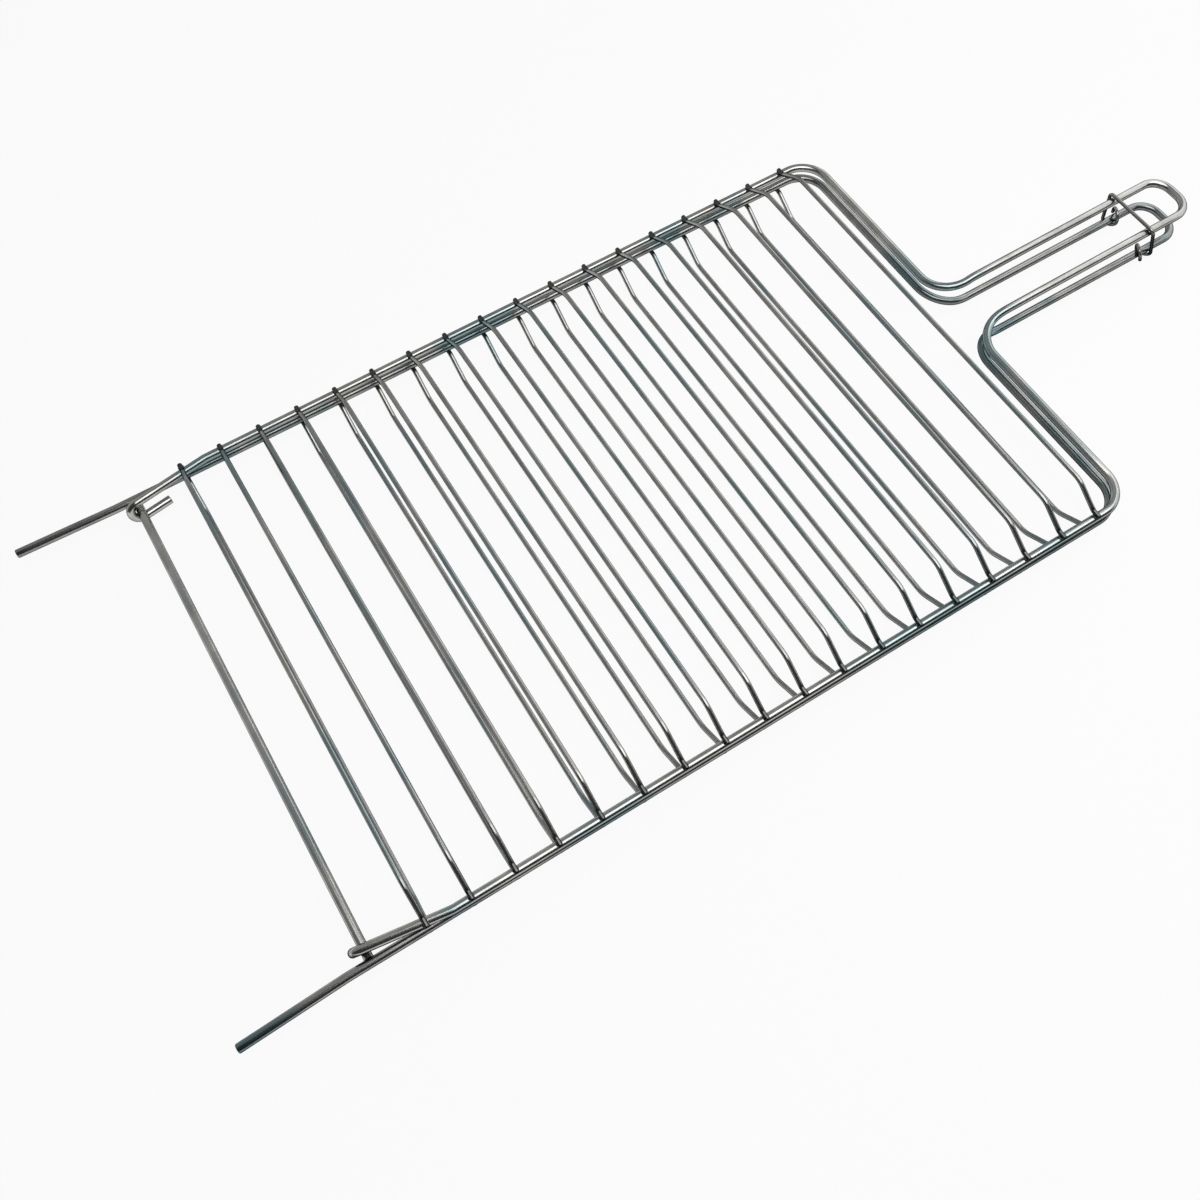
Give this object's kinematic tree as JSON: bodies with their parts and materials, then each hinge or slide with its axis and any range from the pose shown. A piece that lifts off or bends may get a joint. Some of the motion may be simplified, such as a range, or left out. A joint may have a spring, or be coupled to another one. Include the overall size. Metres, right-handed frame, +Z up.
{
  "type": "double grill grate",
  "caption": "Hinged pair of plated wire grates with loop handles, rear legs and a sliding locking clip, for holding food over a fire.",
  "frame": {"origin": "centre of the whole length and width, on the plane that the lower cross wires rest on", "axes": "+X from the legs at the hinge end to the handle loops, +Y to the far side, +Z up through the upper grate"},
  "size_m": [0.7166, 0.309, 0.0386],
  "materials": {
    "frame_wire": "bright zinc plated steel wire, lightly dulled",
    "cross_wire": "bright zinc plated steel wire, lightly dulled",
    "clip_wire": "plated spring steel wire"
  },
  "bodies": {
    "lower_grate": {"lower_frame": "frame_wire", "hinge_bar": "frame_wire", "lower_cross_wire_01": "cross_wire", "lower_cross_wire_02": "cross_wire", "lower_cross_wire_03": "cross_wire", "lower_cross_wire_04": "cross_wire", "lower_cross_wire_05": "cross_wire", "lower_cross_wire_06": "cross_wire", "lower_cross_wire_07": "cross_wire", "lower_cross_wire_08": "cross_wire", "lower_cross_wire_09": "cross_wire", "lower_cross_wire_10": "cross_wire", "lower_cross_wire_11": "cross_wire", "lower_cross_wire_12": "cross_wire", "lower_cross_wire_13": "cross_wire", "lower_cross_wire_14": "cross_wire", "lower_cross_wire_15": "cross_wire", "lower_cross_wire_16": "cross_wire", "lower_cross_wire_17": "cross_wire", "lower_cross_wire_18": "cross_wire"},
    "upper_grate": {"upper_frame": "frame_wire", "upper_cross_wire_01": "cross_wire", "upper_cross_wire_02": "cross_wire", "upper_cross_wire_03": "cross_wire", "upper_cross_wire_04": "cross_wire", "upper_cross_wire_05": "cross_wire", "upper_cross_wire_06": "cross_wire", "upper_cross_wire_07": "cross_wire", "upper_cross_wire_08": "cross_wire", "upper_cross_wire_09": "cross_wire", "upper_cross_wire_10": "cross_wire", "upper_cross_wire_11": "cross_wire", "upper_cross_wire_12": "cross_wire", "upper_cross_wire_13": "cross_wire", "upper_cross_wire_14": "cross_wire", "upper_cross_wire_15": "cross_wire", "upper_cross_wire_16": "cross_wire", "upper_cross_wire_17": "cross_wire", "upper_cross_wire_18": "cross_wire"},
    "clip": {"locking_clip": "clip_wire"}
  },
  "joints": [
    {"name": "grate_hinge", "type": "hinge", "parent": "lower_grate", "child": "upper_grate", "pos_m": [-0.28822, 0, 0.01492], "axis": [0, -1, 0], "range_deg": [-0.4, 140]},
    {"name": "clip_slide", "type": "slide", "parent": "lower_grate", "child": "clip", "axis": [1, 0, 0], "range_m": [-0.1, 0.012]}
  ]
}
